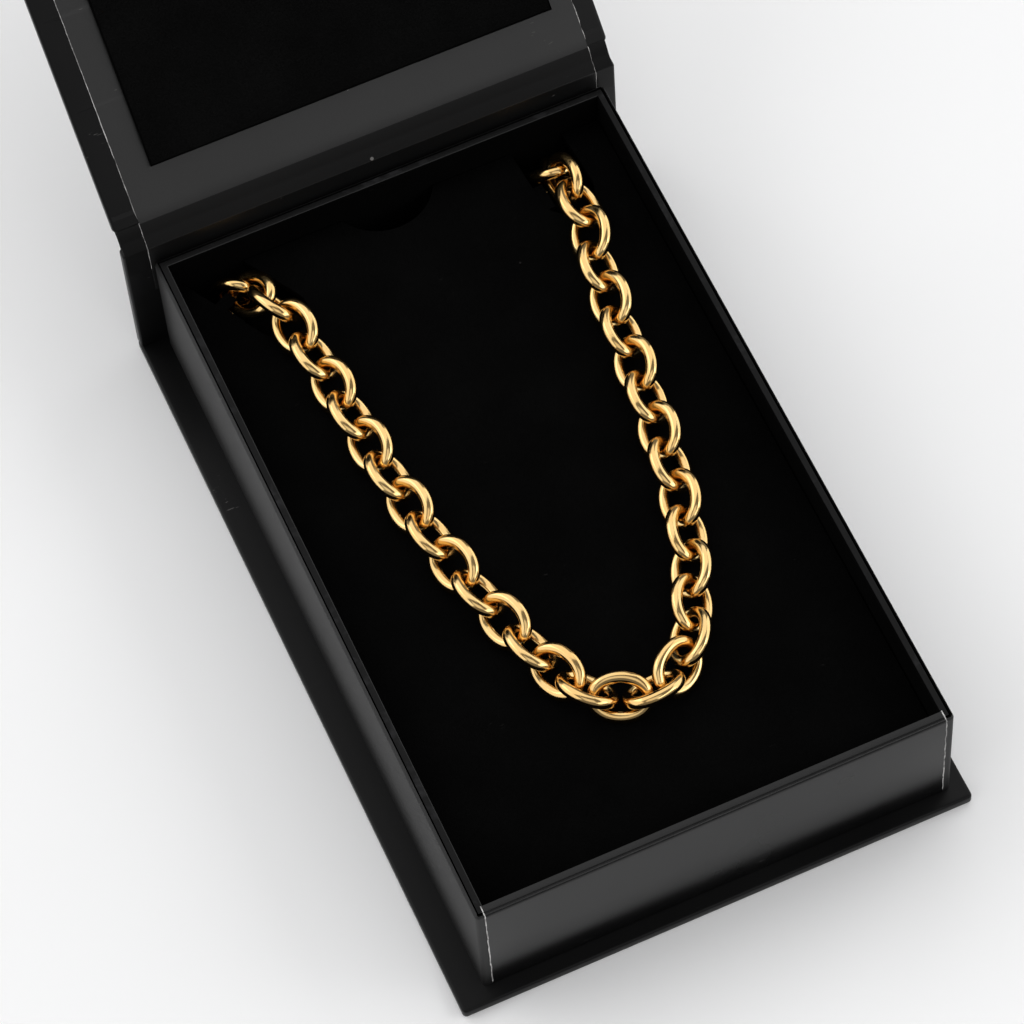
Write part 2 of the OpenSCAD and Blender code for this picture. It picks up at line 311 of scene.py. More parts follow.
def sharp(edge):
    return len(edge.link_faces) == 2 and edge.calc_face_angle(0) > SHARP


def apply_modifiers(piece):
    make_active(piece)
    for modifier in list(piece.modifiers):
        bpy.ops.object.modifier_apply(modifier=modifier.name)


def move_to(piece, place):
    """Moves a piece that was made round the origin to its place, and leaves the object at the origin"""
    make_active(piece)
    piece.matrix_world = place
    bpy.ops.object.transform_apply()


def finish_piece(piece, materials, smooth=SMOOTH):
    """Smooth shading, and the materials of those names"""
    make_active(piece)
    bpy.ops.object.shade_smooth_by_angle(angle=smooth)
    for name in materials:
        piece.data.materials.append(bpy.data.materials[name])


def join(pieces, name):
    """Several pieces as one"""
    deselect_all()
    for piece in pieces:
        piece.select_set(True)
    bpy.context.view_layer.objects.active = pieces[0]
    bpy.ops.object.join()
    return named(name)


def copy_mesh_at(pattern, place):
    """A copy of a pattern, with its own mesh, at a place"""
    make_active(pattern)
    bpy.ops.object.duplicate(linked=False)
    copy = bpy.context.object
    move_to(copy, place)
    return copy


# Shading: node trees built in code


def feed(tree, value, socket):
    """Links a socket's value on, or sets a number, a place or a colour"""
    if isinstance(value, bpy.types.NodeSocket):
        tree.links.new(value, socket)
    elif socket.type == "RGBA":
        socket.default_value = (*value, 1)
    else:
        socket.default_value = value


def add_node(tree, kind, inputs=None, **settings):
    """A node with its settings, and its inputs as values or as sockets to link from"""
    node = tree.nodes.new(kind)
    for name, value in settings.items():
        setattr(node, name, value)
    for name, value in (inputs or {}).items():
        feed(tree, value, node.inputs[name])
    return node


def noise(tree, place, scale, detail=2.0, roughness=0.5, distortion=0.0):
    """Cloudy noise from 0 to 1"""
    return add_node(tree, "ShaderNodeTexNoise", {
        "Vector": place, "Scale": scale, "Detail": detail, "Roughness": roughness,
        "Distortion": distortion}).outputs["Fac"]


def remap(tree, value, low, high, to_low=0.0, to_high=1.0):
    """A number's range stretched to another range, and cut off there"""
    return add_node(tree, "ShaderNodeMapRange", {
        "Value": value, "From Min": low, "From Max": high, "To Min": to_low, "To Max": to_high},
        clamp=True).outputs["Result"]


def combine(tree, how, first, second):
    """Two numbers added, multiplied, compared and so on"""
    node = add_node(tree, "ShaderNodeMath", operation=how)
    feed(tree, first, node.inputs[0])
    feed(tree, second, node.inputs[1])
    return node.outputs["Value"]


def mix_colour(tree, share, first, second):
    """One colour turning into another by a share"""
    node = add_node(tree, "ShaderNodeMix", data_type="RGBA")
    by_id = {socket.identifier: socket for socket in node.inputs}
    for name, value in (("Factor_Float", share), ("A_Color", first), ("B_Color", second)):
        feed(tree, value, by_id[name])
    return next(socket for socket in node.outputs if socket.identifier == "Result_Color")


def shade(colour, share):
    """A colour made darker or paler"""
    return tuple(share * part for part in colour)


def bump(tree, height, depth=1.0):
    """Normals from a height, which is in metres unless a depth is given"""
    return add_node(tree, "ShaderNodeBump", {
        "Height": height, "Distance": depth, "Strength": 1.0}).outputs["Normal"]


def new_group(name, inputs, outputs):
    """A node group with numbers in and out, as (tree, its inputs, its outputs)"""
    tree = bpy.data.node_groups.new(name, "ShaderNodeTree")
    for socket, default in inputs.items():
        made = tree.interface.new_socket(name=socket, in_out="INPUT", socket_type="NodeSocketFloat")
        made.default_value = default
    for socket in outputs:
        tree.interface.new_socket(name=socket, in_out="OUTPUT", socket_type="NodeSocketFloat")
    return tree, tree.nodes.new("NodeGroupInput").outputs, tree.nodes.new("NodeGroupOutput").inputs


def use_group(tree, name, **inputs):
    """The outputs of one of the node groups, with its inputs set for this material"""
    group = bpy.data.node_groups[name]
    return add_node(tree, "ShaderNodeGroup", inputs, node_tree=group).outputs


def drive(tree, sockets, **values):
    """Links what varies over the surface to sockets of a shader or a group, by their names"""
    for name, value in values.items():
        tree.links.new(value, sockets[name.replace("_", " ")])


def object_place(tree):
    return add_node(tree, "ShaderNodeTexCoord").outputs["Object"]


def stretched(tree, place, turn, stretch):
    """Object coordinates turned about Z and squeezed along X, for fine scratches and fibres"""
    return add_node(tree, "ShaderNodeMapping", {
        "Vector": place, "Rotation": (0.3 * turn, 0.2 * turn, turn), "Scale": (stretch, 1, 1)}
    ).outputs["Vector"]


def build_grain_group():
    """Grain of coated paper: fine tooth, soft waviness of the board, and slow cloudiness"""
    tree, given, out = new_group(
        "Paper grain", {"Tooth": 2600.0, "Waves": 55.0}, ["Tooth height", "Wave height", "Cloud"])
    place = object_place(tree)
    drive(
        tree, out, Tooth_height=noise(tree, place, given["Tooth"], 3.0, 0.6),
        Wave_height=noise(tree, place, given["Waves"], 1.0, 0.4),
        Cloud=remap(tree, noise(tree, place, 24.0, 3.0, 0.55), 0.3, 0.7))


def build_dust_group():
    """Specks of dust and short fibres of lint"""
    tree, given, out = new_group(
        "Dust and lint", {"Specks": 160.0, "Amount": 0.2, "Size": 0.07}, ["Mask"])
    place = object_place(tree)
    cells = add_node(tree, "ShaderNodeTexVoronoi", {"Vector": place, "Scale": given["Specks"]})
    spread = add_node(tree, "ShaderNodeSeparateColor", {"Color": cells.outputs["Color"]}).outputs
    size = combine(tree, "MULTIPLY", given["Size"], spread["Green"])
    near = combine(tree, "LESS_THAN", cells.outputs["Distance"], size)
    chosen = combine(tree, "LESS_THAN", spread["Red"], given["Amount"])
    specks = combine(tree, "MULTIPLY", near, chosen)
    fibre_place = stretched(tree, place, 0.9, 0.2)
    fibre = noise(tree, fibre_place, 2600.0, 1.0, 0.4, 0.6)
    patch = remap(tree, noise(tree, place, 90.0, 1.0), 0.66, 0.72)
    lint = combine(tree, "MULTIPLY", remap(tree, fibre, 0.72, 0.76, 0.0, 0.6), patch)
    drive(tree, out, Mask=combine(tree, "MAXIMUM", specks, lint))


def build_rub_group():
    """Where handling has rubbed a fold or soiled a cut edge: broken patches along it"""
    tree, given, out = new_group("Rubbed patches", {"Scale": 420.0, "Cover": 0.5}, ["Mask"])
    place = object_place(tree)
    fine = noise(tree, place, given["Scale"], 4.0, 0.65)
    broad = noise(tree, place, 45.0, 2.0, 0.5)
    both = combine(tree, "MULTIPLY", fine, combine(tree, "ADD", broad, given["Cover"]))
    drive(tree, out, Mask=remap(tree, both, 0.46, 0.66))


def build_scratch_group():
    """Fine scratches in two directions"""
    tree, given, out = new_group("Fine scratches", {"Scale": 1500.0, "Cover": 0.72}, ["Mask"])
    place = object_place(tree)
    masks = []
    for turn in (0.5, 2.1):
        lines = noise(tree, stretched(tree, place, turn, 0.05), given["Scale"], 1.0, 0.5)
        over = combine(tree, "SUBTRACT", lines, given["Cover"])
        masks.append(remap(tree, over, 0.0, 0.05))
    drive(tree, out, Mask=combine(tree, "MAXIMUM", *masks))


def new_material(name, **settings):
    """A material's node tree and its Principled shader's inputs, with the constants set on them"""
    material = bpy.data.materials.new(name)
    material.use_nodes = True
    shader = material.node_tree.nodes["Principled BSDF"]
    for socket, value in settings.items():
        shader.inputs[socket.replace("_", " ")].default_value = value
    return material.node_tree, shader.inputs


def paper_material(name, colour, roughness, gloss):
    """Black paper with a satin coating, a fine tooth, soft waves and a little dust"""
    tree, shader = new_material(name, Specular_IOR_Level=gloss)
    grain = use_group(tree, "Paper grain")
    specks = use_group(tree, "Dust and lint", Amount=0.12)["Mask"]
    clouded = mix_colour(tree, grain["Cloud"], colour, shade(colour, 1.45))
    dusted = mix_colour(tree, specks, clouded, bpy.context.scene.box_finishes.dust)
    scratches = use_group(tree, "Fine scratches", Scale=420.0, Cover=0.76)["Mask"]
    rough = remap(tree, grain["Cloud"], 0, 1, roughness, roughness + 0.07)
    rough = combine(tree, "SUBTRACT", rough, combine(tree, "MULTIPLY", scratches, 0.1))
    tooth = combine(tree, "MULTIPLY", grain["Tooth height"], TOOTH_DEPTH)
    waves = combine(tree, "MULTIPLY", grain["Wave height"], WAVE_DEPTH)
    relief = bump(tree, combine(tree, "ADD", tooth, waves))
    drive(tree, shader, Base_Color=dusted, Roughness=rough, Normal=relief)


def fold_material(name, colour):
    """Paper along a fold, rubbed paler in places"""
    finishes = bpy.context.scene.box_finishes
    tree, shader = new_material(name, Specular_IOR_Level=0.12)
    rubbed = use_group(tree, "Rubbed patches", Cover=0.35)["Mask"]
    grain = use_group(tree, "Paper grain")
    drive(
        tree, shader, Base_Color=mix_colour(tree, rubbed, colour, finishes.fold),
        Roughness=remap(tree, rubbed, 0, 1, 0.42, 0.62),
        Normal=bump(tree, grain["Tooth height"], FOLD_TOOTH_DEPTH))


def core_material():
    """Pale cut edges of the paper, dirty in places"""
    finishes = bpy.context.scene.box_finishes
    tree, shader = new_material("cut_paper_core", Specular_IOR_Level=0.2, Roughness=0.8)
    dirt = use_group(tree, "Rubbed patches", Scale=900.0, Cover=0.6)["Mask"]
    dirty = shade(finishes.core, 0.4)
    drive(tree, shader, Base_Color=mix_colour(tree, dirt, dirty, finishes.core))


def flock_material(name, colour, nap):
    """Flock: short matt fibres that swallow nearly all light, brushed a little unevenly"""
    finishes = bpy.context.scene.box_finishes
    tree, shader = new_material(name, Specular_IOR_Level=0.0, Roughness=1.0)
    place = object_place(tree)
    fibres = noise(tree, place, 5200.0 / nap, 2.0, 0.7)
    brushed = noise(tree, place, 60.0, 3.0, 0.6)
    nap_cloud = combine(tree, "MULTIPLY", fibres, combine(tree, "ADD", brushed, 0.5))
    napped = mix_colour(tree, remap(tree, nap_cloud, 0.3, 0.75), colour, shade(colour, 2.1))
    specks = use_group(tree, "Dust and lint", Specks=110.0, Amount=0.09, Size=0.06)["Mask"]
    dusted = mix_colour(tree, specks, napped, shade(finishes.dust, 0.09))
    drive(tree, shader, Base_Color=dusted, Normal=bump(tree, fibres, NAP_DEPTH * nap))


def gold_material():
    """Polished gold plating with hairline scratches and slightly uneven gloss"""
    finishes = bpy.context.scene.box_finishes
    tree, shader = new_material("polished_gold", Metallic=1.0)
    place = object_place(tree)
    tint = remap(tree, noise(tree, place, 260.0, 2.0), 0.35, 0.65)
    deeper = (finishes.gold[0], 0.93 * finishes.gold[1], 0.84 * finishes.gold[2])
    scratches = use_group(tree, "Fine scratches", Scale=2400.0, Cover=0.68)["Mask"]
    cloud = remap(tree, noise(tree, place, 700.0, 3.0, 0.6), 0.3, 0.7, 0.12, 0.17)
    rough = combine(tree, "ADD", cloud, combine(tree, "MULTIPLY", scratches, 0.08))
    soft = combine(tree, "MULTIPLY", noise(tree, place, 240.0, 1.0), GOLD_WAVE_DEPTH)
    cuts = combine(tree, "MULTIPLY", scratches, -GOLD_SCRATCH_DEPTH)
    drive(
        tree, shader, Base_Color=mix_colour(tree, tint, finishes.gold, deeper), Roughness=rough,
        Normal=bump(tree, combine(tree, "ADD", soft, cuts)))


def floor_material():
    """Pale sweep of seamless paper"""
    finishes = bpy.context.scene.box_finishes
    tree, shader = new_material("pale_floor", Specular_IOR_Level=0.2, Roughness=0.75)
    cloud = remap(tree, noise(tree, object_place(tree), 9.0, 2.0), 0.3, 0.7)
    paler = shade(finishes.floor, 1.012)
    drive(tree, shader, Base_Color=mix_colour(tree, cloud, finishes.floor, paler))


def build_materials():
    finishes = bpy.context.scene.box_finishes
    build_grain_group()
    build_dust_group()
    build_rub_group()
    build_scratch_group()
    fold_material("case_fold", finishes.board_paper)
    fold_material("tray_fold", finishes.tray_paper)
    # Papers: name, colour, roughness and gloss
    for name, colour, roughness, gloss in (
            ("case_paper", finishes.board_paper, 0.32, 0.12),
            ("tray_paper", finishes.tray_paper, 0.55, 0.45),
            ("front_paper", finishes.tray_paper, 0.22, 0.3),
            ("liner_paper", finishes.liner_paper, 0.38, 0.42),
            # The liner's gutter in the crease has less gloss and more roughness than the rest of the
            # liner: painted shade that darkens the crease
            ("liner_gutter_shade", finishes.liner_paper, 0.5, 0.16)):
        paper_material(name, colour, roughness, gloss)
    core_material()
    flock_material("insert_flock", finishes.flock, 1.0)
    flock_material("lid_pad_flock", finishes.pad, 1.6)
    gold_material()
    floor_material()


# Pieces


def case_board(name, node, low, high, thin, body, place=None):
    """A board wrapped in paper that stands for a CAD node, on the lid or on the box. thin is
    the axis through its thickness."""
    sizes = bpy.context.scene.box_case
    piece = block(name, low, high)
    with edit(piece):
        round_edges(piece, sizes.corner_r, 5, lambda edge: runs_along(edge, thin), FOLD)
        round_edges(piece, sizes.edge_r, 4, sharp, FOLD)
    if place is not None:
        move_to(piece, place)
    finish_piece(piece, ["case_paper", "case_fold"])
    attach(piece, body)
    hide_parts(node)


class BOX_OT_case_boards(bpy.types.Operator):
    """Adds the base board and the spine board behind the tray, wrapped in black paper"""

    bl_idname = "gift_box.case_boards"
    bl_label = "Base and spine boards"

    def execute(self, context):
        case_board("base_board_wrapped", "base_board", *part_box("base_board"), Z, "box")
        case_board("spine_board_wrapped", "spine_board", *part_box("spine_board"), Y, "box")
        return {"FINISHED"}


class BOX_OT_lid_board(bpy.types.Operator):
    """Adds the lid board, standing open"""

    bl_idname = "gift_box.lid_board"
    bl_label = "Lid board"

    def execute(self, context):
        case_board("lid_board_wrapped", "lid_board", *lid_box("lid_board"), Z, "lid", OPEN_LID)
        return {"FINISHED"}


def tray_wall():
    """Thickness of the tray's walls: the insert stands just clear of their inner faces"""
    outer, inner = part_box("tray"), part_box("insert")
    return inner[0].y - outer[0].y - bpy.context.scene.box_case.insert_play


class BOX_OT_tray(bpy.types.Operator):
    """Adds the tray: walls with a rounded rim, lined with flock inside"""

    bl_idname = "gift_box.tray"
    bl_label = "Tray"

    def execute(self, context):
        sizes = context.scene.box_case
        low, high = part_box("tray")
        floor_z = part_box("insert")[0].z
        wall = tray_wall()
        piece = block("tray_wrapped", low, high)

        def inside(at):
            return (
                low.x + wall / 2 < at.x < high.x - wall / 2
                and low.y + wall / 2 < at.y < high.y - wall / 2)

        def on_top(at):
            return at.z > high.z - WELD

        def rim_edge(edge):
            return sharp(edge) and on_top(middle(edge))

        with edit(piece):
            select(piece, "FACE", lambda face: face.normal.z > 0.9)
            bpy.ops.mesh.inset(thickness=wall)
            bpy.ops.mesh.extrude_region_move(
                TRANSFORM_OT_translate={"value": (0, 0, floor_z - high.z)})
            paint_faces(piece, LINING, inside)
            round_edges(
                piece, sizes.corner_r, 5,
                lambda edge: runs_along(edge, Z) and not inside(middle(edge)), FOLD)
            round_edges(
                piece, sizes.rim_r, 5,
                lambda edge: rim_edge(edge) and not inside(middle(edge)), FOLD)
            round_edges(
                piece, sizes.rim_inner_r, 3,
                lambda edge: rim_edge(edge) and inside(middle(edge)), FOLD)
            paint_faces(piece, FOLD, on_top)
        finish_piece(piece, ["tray_paper", "tray_fold", "insert_flock"])
        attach(piece, "box")
        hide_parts("tray")
        return {"FINISHED"}


def ribbon(name, left, right, points, facing):
    """A strip of paper from left to right, following points (y, z), its face turned one way"""
    deselect_all()
    start, second = (Vector((0, *point)) for point in points[:2])
    bpy.ops.mesh.primitive_plane_add(size=1)
    piece = named(name)
    with edit(piece):
        mesh = bmesh.from_edit_mesh(piece.data)
        for corner in mesh.verts:
            at = start if corner.co.y < 0 else second
            corner.co = Vector((left if corner.co.x < 0 else right, at.y, at.z))
        bmesh.update_edit_mesh(piece.data)
        for last, point in zip(points[1:], points[2:]):
            select(piece, "EDGE", lambda edge: (
                edge.is_boundary and runs_along(edge, X)
                and (middle(edge).yz - Vector(last)).length < WELD))
            bpy.ops.mesh.extrude_region_move(
                TRANSFORM_OT_translate={"value": (0, point[0] - last[0], point[1] - last[1])})
    if piece.data.polygons[0].normal.dot(facing) < 0:
        with edit(piece):
            bpy.ops.mesh.select_all(action="SELECT")
            bpy.ops.mesh.flip_normals()
    return piece


def thicken(piece, thickness, side, rim=0):
    """Gives a ribbon its thickness, and its rim the material of that place"""
    sheet = piece.modifiers.new("Sheet", "SOLIDIFY")
    sheet.thickness = thickness
    sheet.offset = side
    sheet.material_offset_rim = rim
    apply_modifiers(piece)


def arc(middle_y, middle_z, radius, start, end, steps):
    """Points (y, z) on an arc, from one angle to another"""
    angles = [start + (end - start) * k / steps for k in range(steps + 1)]
    return [(middle_y + radius * math.cos(a), middle_z + radius * math.sin(a)) for a in angles]


class BOX_OT_front_paper(bpy.types.Operator):
    """Adds the paper on the tray's front, which goes over the rim and ends short of the corners"""

    bl_idname = "gift_box.front_paper"
    bl_label = "Front paper"

    def execute(self, context):
        sizes = context.scene.box_case
        low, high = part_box("tray")
        r = sizes.rim_r
        inner_y = low.y + tray_wall() - sizes.rim_inner_r
        points = [(low.y, low.z + sizes.front_up), (low.y, (low.z + high.z) / 2)]
        points += arc(low.y + r, high.z - r, r, math.pi, math.pi / 2, steps=5)
        points += [(inner_y, high.z)]
        left, right = low.x + sizes.seam_in, high.x - sizes.seam_in
        piece = ribbon("tray_front_paper", left, right, points, facing=-Y)
        thicken(piece, sizes.paper_t, OUTWARDS, RIM)
        finish_piece(piece, ["front_paper", "tray_fold"])
        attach(piece, "box")
        return {"FINISHED"}


class BOX_OT_insert(bpy.types.Operator):
    """Adds the flocked insert, with its finger notch and the two slots for the chain"""

    bl_idname = "gift_box.insert"
    bl_label = "Insert"

    def execute(self, context):
        piece = bpy.data.objects.new("insert_flocked", frame["nodes"]["insert"].data.copy())
        context.scene.collection.objects.link(piece)
        piece.data.name = "insert_flocked"
        piece.data.materials.clear()
        with edit(piece):
            bpy.ops.mesh.select_all(action="SELECT")
            bpy.ops.mesh.remove_doubles(threshold=WELD)
            bpy.ops.mesh.normals_make_consistent(inside=False)
            bpy.ops.mesh.dissolve_limited(angle_limit=math.radians(2))
        soft = piece.modifiers.new("Soft edges", "BEVEL")
        soft.width = context.scene.box_case.flock_edge_r
        soft.segments = 3
        soft.limit_method = "ANGLE"
        soft.angle_limit = SHARP
        apply_modifiers(piece)
        finish_piece(piece, ["insert_flock"])
        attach(piece, "box")
        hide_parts("insert")
        return {"FINISHED"}


# The insert's slots, right and left: x and y where the chain starts to dive, its heading there in
# degrees, how far the slot reaches before that, and the lips of flocked card beside the diving
# links: where each starts and ends along the slot, and how far its free edge is left of the
# slot's middle. The slots have the same values as those of the CAD model.
SLOTS = [
    (32.8 * MM, 58.8 * MM, 94, 4.2 * MM, [(-1 * MM, 4.6 * MM, 3.4 * MM)]),
    (-28.2 * MM, 61 * MM, 120, 8.8 * MM, [
        (5.2 * MM, 7.8 * MM, 2 * MM), (1 * MM, 5.2 * MM, 5 * MM)])]


def card_strip(left, right, points, place):
    """A strip of thin card along points (y, z), moved to its place"""
    strip = ribbon("card_strip", left, right, points, facing=Z)
    thicken(strip, bpy.context.scene.box_case.flap_t, INWARDS)
    move_to(strip, place)
    return strip


class BOX_OT_flaps(bpy.types.Operator):
    """Adds the card flaps that the chain presses down where it goes through the insert, and
    the lips beside it. They are also dark flock sheets that stand in for the shade inside
    the slots, and they hide the links under the insert"""

    bl_idname = "gift_box.flaps"
    bl_label = "Insert flaps"

    def execute(self, context):
        sizes = context.scene.box_case
        bed_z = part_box("insert")[1].z
        half = sizes.flap_w / 2
        flaps = []
        for x, y, heading, reach, lips in SLOTS:
            turn = Matrix.Rotation(math.radians(heading - 90), 4, "Z")
            place = Matrix.Translation((x, y, 0)) @ turn
            flap_points = [
                (-reach - sizes.flap_lap, bed_z - sizes.card_t - sizes.flap_t / 2),
                (0, bed_z - sizes.flap_drop),
                (sizes.flap_run, bed_z - sizes.flap_drop)]
            flaps.append(card_strip(-half, half, flap_points, place))
            outer, lip_z = -half - sizes.flap_lap, bed_z - sizes.flap_t / 2
            for start, end, free in lips:
                lip_points = [(start, lip_z), (end, lip_z)]
                flaps.append(card_strip(outer, -free, lip_points, place))
        # The flaps and lips are partly the slit's card and partly dark sheets that stand in for the
        # shade in the slots
        piece = join(flaps, "insert_flaps")
        finish_piece(piece, ["insert_flock"])
        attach(piece, "box")
        return {"FINISHED"}


def loose_solids(node):
    """Each loose solid of a CAD node: its place, as a matrix whose axes run along, across and
    through it, and its size that way"""
    mesh = bmesh.new()
    mesh.from_mesh(frame["nodes"][node].data)
    bmesh.ops.remove_doubles(mesh, verts=mesh.verts, dist=WELD)
    left, found = set(mesh.faces), []
    while left:
        group, waiting = [], [min(left, key=lambda face: face.index)]
        left.discard(waiting[0])
        while waiting:
            face = waiting.pop()
            group.append(face)
            for near in {other for edge in face.edges for other in edge.link_faces} & left:
                left.discard(near)
                waiting.append(near)
        found.append(np.array([[corner.co[:] for corner in face.verts] for face in group]))
    mesh.free()
    return [place_of(triangles) for triangles in found]


def place_of(triangles):
    """Middle, axes and size of a solid, by how its surface is spread"""
    edges = triangles[:, 1:] - triangles[:, :1]
    areas = np.linalg.norm(np.cross(edges[:, 0], edges[:, 1]), axis=1) / 2
    centre = (areas[:, None] * triangles.mean(1)).sum(0) / areas.sum()
    points = triangles - centre
    spread = sum(np.einsum("i,ij,ik->jk", areas, points[:, k], points[:, k]) for k in range(3))
    total = points.sum(1)
    spread += np.einsum("i,ij,ik->jk", areas, total, total)
    axes = np.linalg.eigh(spread)[1][:, ::-1]
    along = axes[:, 0] * (1 if axes[1, 0] > 0 else -1)
    across = axes[:, 1] * (1 if axes[2, 1] > 0 else -1)
    turned = np.stack([along, across, np.cross(along, across)], 1)
    reach = np.abs(points.reshape(-1, 3) @ turned)
    place = Matrix.LocRotScale(Vector(centre), Matrix(turned.tolist()), None)
    return place, 2 * reach.max(0)


def link_pattern(length, width, wire):
    """One link round the origin: an oval of round wire, lying along X"""
    sizes = bpy.context.scene.box_chain
    deselect_all()
    bpy.ops.curve.primitive_bezier_circle_add(radius=1)
    oval = bpy.context.object.data
    a, b = (length - wire) / 2, (width - wire) / 2
    for point in oval.splines[0].bezier_points:
        at = point.co.copy()
        handle = Vector((sizes.fullness_along * a, 0, 0))
        if abs(at.x) > 0.5:
            handle = Vector((0, sizes.fullness_across * b, 0))
        if (point.handle_right - at).dot(handle) < 0:
            handle.negate()
        point.handle_left_type = point.handle_right_type = "FREE"
        point.co = (at.x * a, at.y * b, 0)
        point.handle_right = point.co + handle
        point.handle_left = point.co - handle
    oval.dimensions = "3D"
    oval.resolution_u = oval.render_resolution_u = sizes.quarter_steps
    oval.bevel_depth = wire / 2
    oval.bevel_resolution = (sizes.wire_sides - 4) // 2
    bpy.ops.object.convert(target="MESH")
    piece = named("link_pattern")
    with edit(piece):
        bpy.ops.mesh.select_all(action="SELECT")
        bpy.ops.mesh.remove_doubles(threshold=WELD)
        bpy.ops.mesh.normals_make_consistent(inside=False)
    return piece


def chain(name, node):
    """All links of a CAD node as one piece of oval links"""
    places = loose_solids(node)
    length, width, wire = np.median([size for _, size in places], axis=0)
    pattern = link_pattern(length, width, wire)
    links = [copy_mesh_at(pattern, place) for place, _ in places]
    make_active(pattern)
    bpy.ops.object.delete()
    piece = join(links, name)
    finish_piece(piece, ["polished_gold"], ROUND)
    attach(piece, "box")
    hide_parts(node)


class BOX_OT_chain(bpy.types.Operator):
    """Adds the links that lie on the insert, and those that lie hidden under it"""

    bl_idname = "gift_box.chain"
    bl_label = "Chain"

    def execute(self, context):
        chain("chain_on_bed_links", "chain_on_bed")
        chain("chain_under_bed_links", "chain_under_bed")
        return {"FINISHED"}


class BOX_OT_clasp(bpy.types.Operator):
    """Adds the plain barrel clasp with a ring at each end"""

    bl_idname = "gift_box.clasp"
    bl_label = "Clasp"

    def execute(self, context):
        sizes = context.scene.box_chain
        place, (length, width, depth) = loose_solids("clasp")[0]
        ring_r = (width - sizes.ring_wire) / 2
        ring_x = (length - width) / 2
        deselect_all()
        bpy.ops.mesh.primitive_cylinder_add(
            vertices=40, radius=depth / 2, depth=2 * (ring_x - ring_r), rotation=(0, math.pi / 2, 0))
        bpy.ops.object.transform_apply()
        barrel = named("clasp_body")
        with edit(barrel):
            round_edges(barrel, sizes.cap_r, 5, sharp)
        rings = []
        for side in (-1, 1):
            deselect_all()
            bpy.ops.mesh.primitive_torus_add(
                location=(side * ring_x, 0, 0), major_radius=ring_r,
                minor_radius=sizes.ring_wire / 2, major_segments=48, minor_segments=16)
            bpy.ops.object.transform_apply()
            rings.append(bpy.context.object)
        piece = join([barrel, *rings], "clasp_barrel")
        move_to(piece, place)
        finish_piece(piece, ["polished_gold"])
        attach(piece, "box")
        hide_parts("clasp")
        return {"FINISHED"}


class BOX_OT_lid_pad(bpy.types.Operator):
    """Adds the flocked pad inside the lid, with softly uneven edges"""

    bl_idname = "gift_box.lid_pad"
    bl_label = "Lid pad"

    def execute(self, context):
        sizes = context.scene.box_case
        low, high = lid_box("lid_pad")
        piece = block("lid_pad_flocked", low, high)
        with edit(piece):
            bpy.ops.mesh.select_all(action="SELECT")
            bpy.ops.mesh.subdivide(number_cuts=47)
            round_edges(
                piece, sizes.pad_edge_r, 3,
                lambda edge: sharp(edge) and middle(edge).z < low.z + WELD)
        nap = bpy.data.textures.new("Pad nap", "CLOUDS")
        nap.noise_scale = sizes.nap_size
        uneven = piece.modifiers.new("Uneven edges", "DISPLACE")
        uneven.texture = nap
        uneven.texture_coords = "LOCAL"
        uneven.strength = sizes.pad_nap
        uneven.mid_level = 1.0
        apply_modifiers(piece)
        move_to(piece, OPEN_LID)
        finish_piece(piece, ["lid_pad_flock"], ROUND)
        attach(piece, "lid")
        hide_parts("lid_pad")
        return {"FINISHED"}


def liner_sides():
    """Left and right edge of the liner"""
    sizes = bpy.context.scene.box_case
    low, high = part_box("tray")
    middle_x = (low.x + high.x) / 2
    return middle_x - sizes.liner_left, middle_x + sizes.liner_right


def lid_corner(gap=0):
    """The corner of the open lid's inner side that is nearest the spine, or a gap above it"""
    low, high = lid_box("lid_board")
    return on_lid(high.y, low.z - gap)


def liner_points():
    """The liner's line (y, z), up the spine, through the crease and along the open lid"""
    sizes = bpy.context.scene.box_case
    spine_low, spine_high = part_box("spine_board")
    lid_low, lid_high = lid_box("lid_board")
    lift = sizes.liner_lift
    near = lid_corner(gap=lift)
    along = (OPEN_LID.to_3x3() @ -Y).normalized()
    r = sizes.edge_r
    y = spine_low.y - lift
    edge = Vector((0, y + r, spine_high.z - r + lift))
    rising = (near - edge).normalized()
    points = [(y, spine_high.z - sizes.liner_down), (y, spine_high.z - sizes.liner_down / 2)]
    points += arc(edge.y, edge.z, r, math.pi, math.pi - math.atan2(rising.y, rising.z), steps=3)
    soft = sizes.crease_soft
    start, end = near - rising * soft, near + along * soft
    for k in range(BEND_STEPS + 1):
        t = k / BEND_STEPS
        point = start * (1 - t) ** 2 + near * 2 * t * (1 - t) + end * t ** 2
        points.append((point.y, point.z))
    length = -lid_low.y + lid_high.y - sizes.liner_front - soft
    for k in range(1, LINER_STEPS + 1):
        point = end + along * length * k / LINER_STEPS
        points.append((point.y, point.z))
    return points


def blend_over_crease(piece):
    """Bakes the place of a paper on the inside into its mesh"""
    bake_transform(piece)


class BOX_OT_liner(bpy.types.Operator):
    """Adds the liner paper inside the lid, which goes over the crease and down the spine"""

    bl_idname = "gift_box.liner"
    bl_label = "Liner"

    def execute(self, context):
        sizes = context.scene.box_case
        left, right = liner_sides()
        piece = ribbon("lid_liner", left, right, liner_points(), facing=-Y)
        spine_top, crease_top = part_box("spine_board")[1].z, lid_corner().z
        with edit(piece):
            # The faces in the crease get the duller gutter paper, which is painted shade for the crease
            paint_faces(piece, GUTTER, lambda at: spine_top < at.z < crease_top)
        thicken(piece, sizes.paper_t, OUTWARDS, RIM)
        finish_piece(piece, ["liner_paper", "cut_paper_core", "liner_gutter_shade"])
        blend_over_crease(piece)
        return {"FINISHED"}


